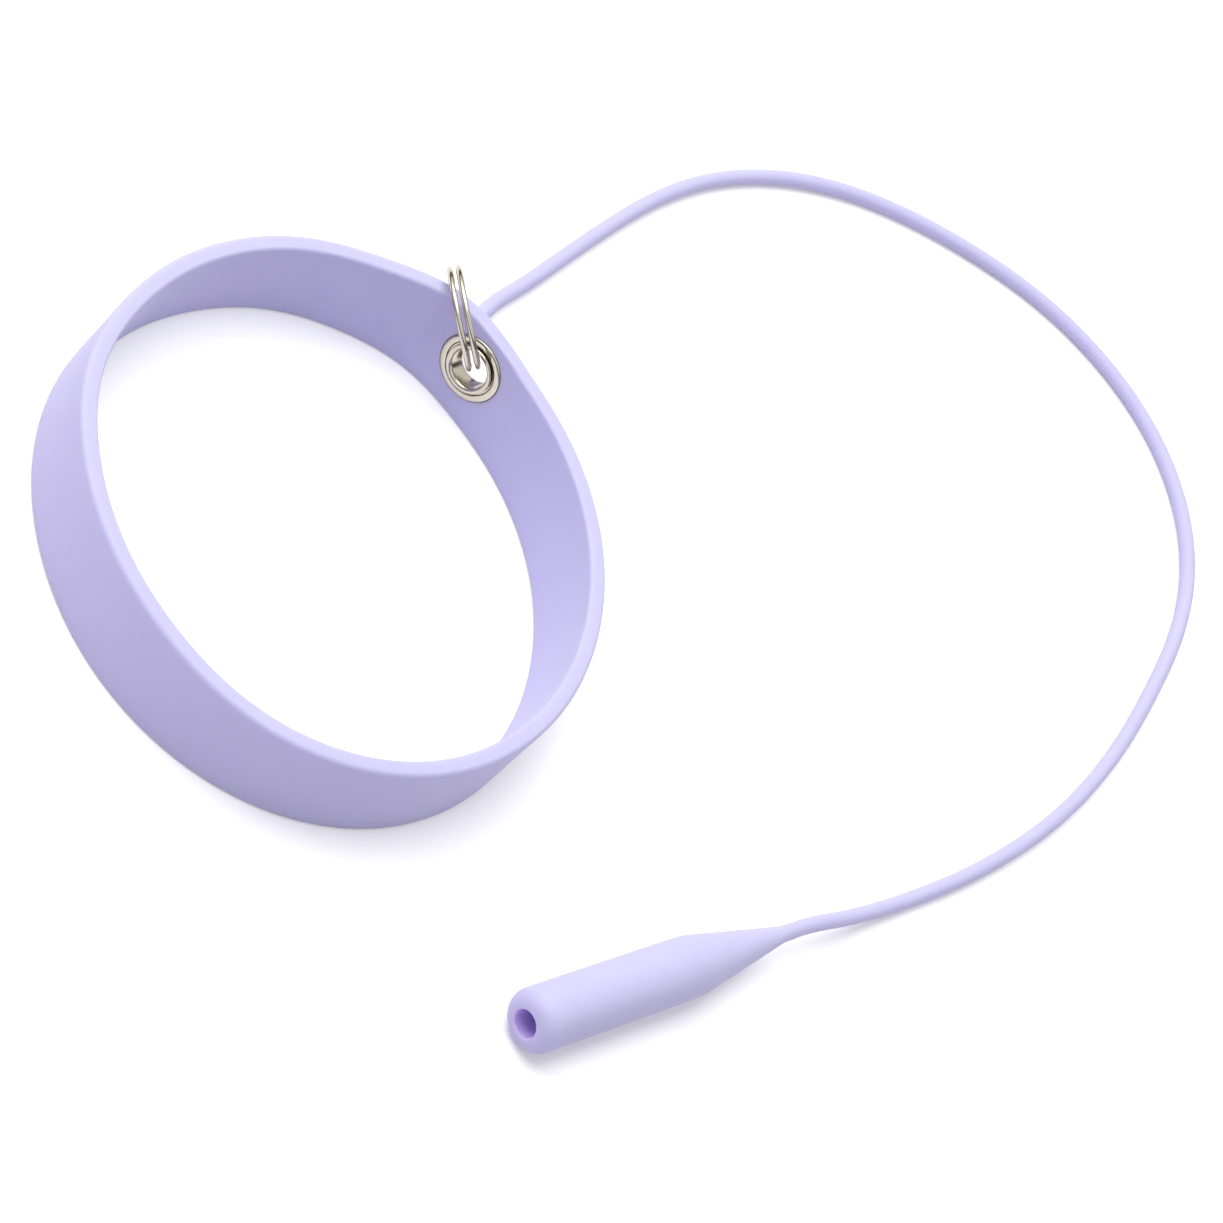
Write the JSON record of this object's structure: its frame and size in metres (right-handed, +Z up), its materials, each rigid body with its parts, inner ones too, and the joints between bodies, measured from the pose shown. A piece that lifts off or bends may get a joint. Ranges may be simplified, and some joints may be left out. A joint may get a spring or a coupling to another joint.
{
  "type": "corded wrist strap",
  "caption": "Endless silicone wristband with a riveted eyelet and split ring carrying a thin silicone cord, which ends in a tapered push-on socket.",
  "frame": {"origin": "on the band's axis, on the surface that the band's lower rim lies on", "axes": "+Z up out of the surface, along the band's axis; +X towards the cord's far bend; the eyelet is 36 degrees from +X towards +Y"},
  "size_m": [0.1661, 0.1131, 0.0148],
  "materials": {
    "band_silicone": "matte moulded silicone",
    "eyelet_nickel": "bright nickel plate",
    "washer_nickel": "bright nickel plate",
    "ring_nickel": "bright nickel plate",
    "eye_silicone": "satin moulded silicone",
    "cord_silicone": "satin silicone",
    "socket_silicone": "satin moulded silicone"
  },
  "bodies": {
    "band": {"wristband": "band_silicone", "eyelet": "eyelet_nickel", "eyelet_washer": "washer_nickel"},
    "ring": {"split_ring": "ring_nickel"},
    "tether": {"tether_eye": "eye_silicone", "tether_cord": "cord_silicone", "grip_socket": "socket_silicone"}
  },
  "joints": [
    {"name": "ring_turn", "type": "hinge", "parent": "band", "child": "ring", "pos_m": [0.02542, 0.02444, 0.00978], "axis": [0.7707, -0.126, 0.6246], "continuous": true},
    {"name": "tether_swivel", "type": "hinge", "parent": "band", "child": "tether", "pos_m": [0.02898, 0.02567, 0.00564], "axis": [0, 0, 1], "range_deg": [-30, 18]}
  ]
}
